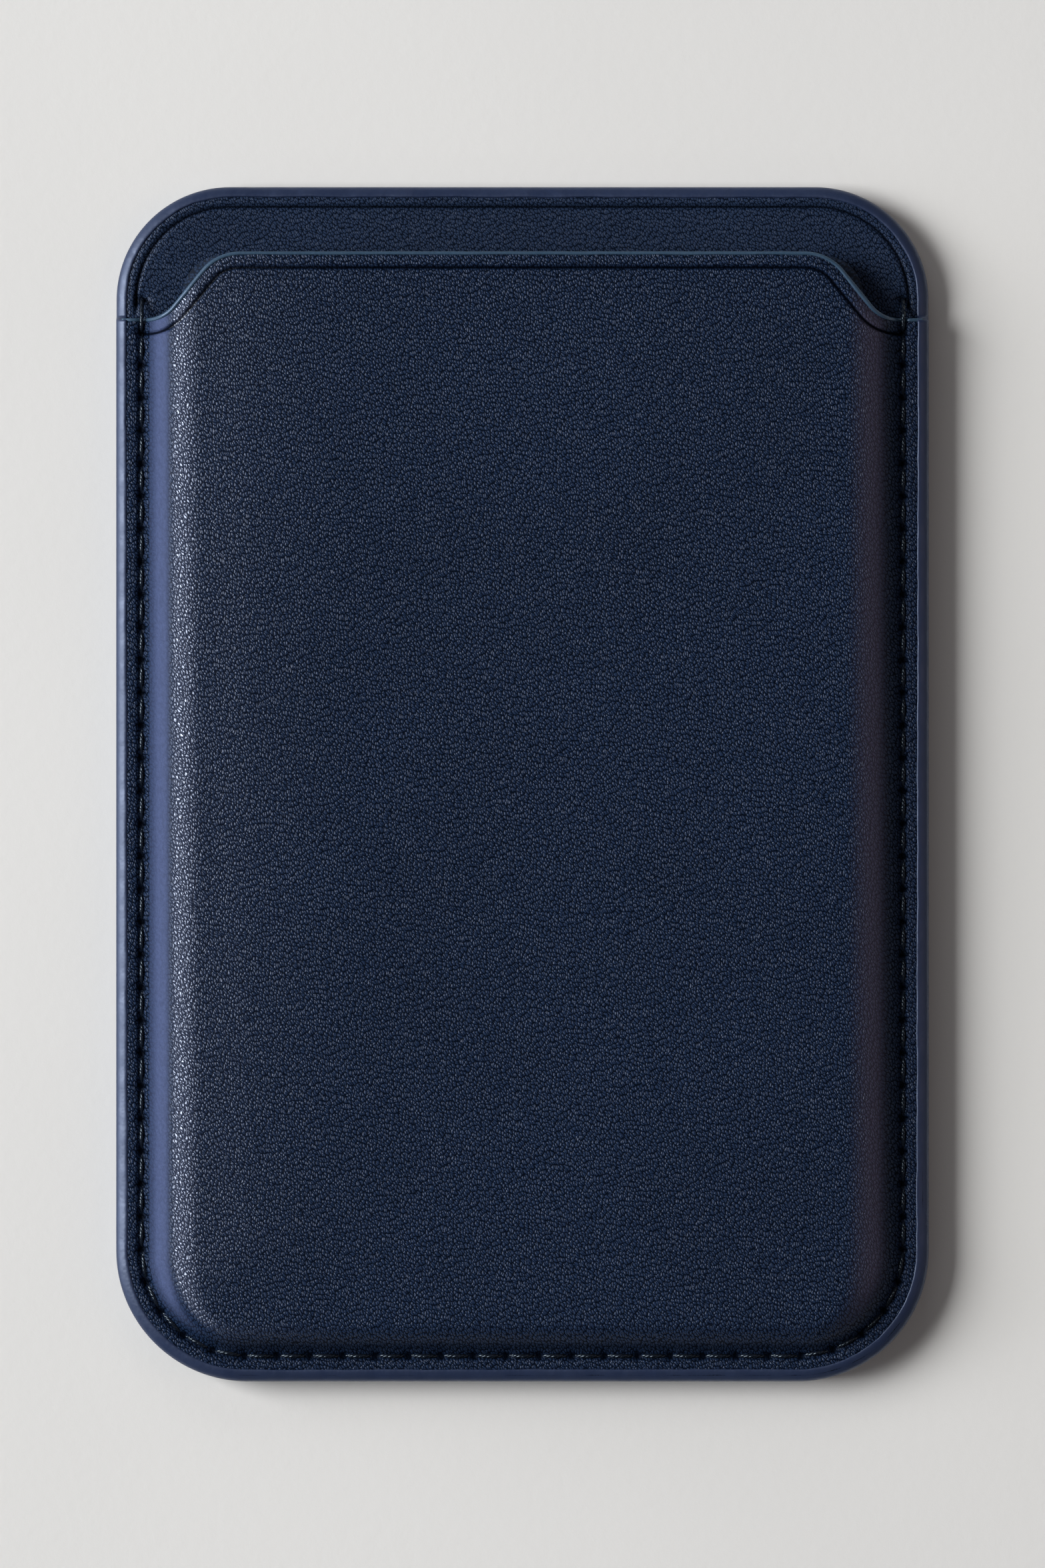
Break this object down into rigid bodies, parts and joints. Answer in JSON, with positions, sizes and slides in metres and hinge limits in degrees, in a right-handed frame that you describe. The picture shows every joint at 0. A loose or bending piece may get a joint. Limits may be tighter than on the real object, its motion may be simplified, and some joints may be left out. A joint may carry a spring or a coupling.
{
  "type": "magnetic card wallet",
  "caption": "Flat stitched leather card pocket that clings by magnets to the back of a phone, with a thumb slot behind and a swell over the cards.",
  "frame": {"origin": "centre of the magnet ring, on the rear face that lies against the phone", "axes": "+X across the wallet, +Y towards the card mouth, +Z out of the front leather"},
  "size_m": [0.0644, 0.0948, 0.0061],
  "materials": {
    "navy_leather": "pebble grain, soft sheen",
    "rear_leather": "fine grain, matt",
    "edge_paint": "smooth satin paint",
    "thread": "waxed twisted polyester",
    "microfibre": "suede-like nap",
    "fibre_board": "bonded leather fibre",
    "carrier_plastic": "matt moulded",
    "cover_film": "satin film",
    "adhesive_film": "soft acrylic film",
    "plated_magnet": "nickel plated",
    "sheet_steel": "rolled",
    "rear_card_plastic": "laminated",
    "front_card_plastic": "laminated",
    "chip_contact": "gold plated"
  },
  "bodies": {
    "wallet": {"rear_skin": "rear_leather", "rear_adhesive": "adhesive_film", "core_frame": "fibre_board", "magnet_carrier": "carrier_plastic", "magnet_film": "cover_film", "ring_magnets": "plated_magnet", "alignment_magnet": "plated_magnet", "magnet_yokes": "sheet_steel", "card_shield": "sheet_steel", "shield_adhesive": "adhesive_film", "inner_panel": "navy_leather", "front_lining": "microfibre", "front_stiffener": "carrier_plastic", "front_skin": "navy_leather", "mouth_edge_paint": "edge_paint", "outer_edge_paint": "edge_paint", "slot_edge_paint": "edge_paint", "needle_thread": "thread", "bobbin_thread": "thread"},
    "rear_card": {"rear_card": "rear_card_plastic", "rear_card_chip": "chip_contact"},
    "front_card": {"front_card": "front_card_plastic", "front_card_chip": "chip_contact"}
  },
  "joints": [
    {"name": "rear_card_slide", "type": "slide", "parent": "wallet", "child": "rear_card", "axis": [0, 1, 0], "range_m": [0, 0.092]},
    {"name": "front_card_slide", "type": "slide", "parent": "wallet", "child": "front_card", "axis": [0, 1, 0], "range_m": [0, 0.092]}
  ]
}
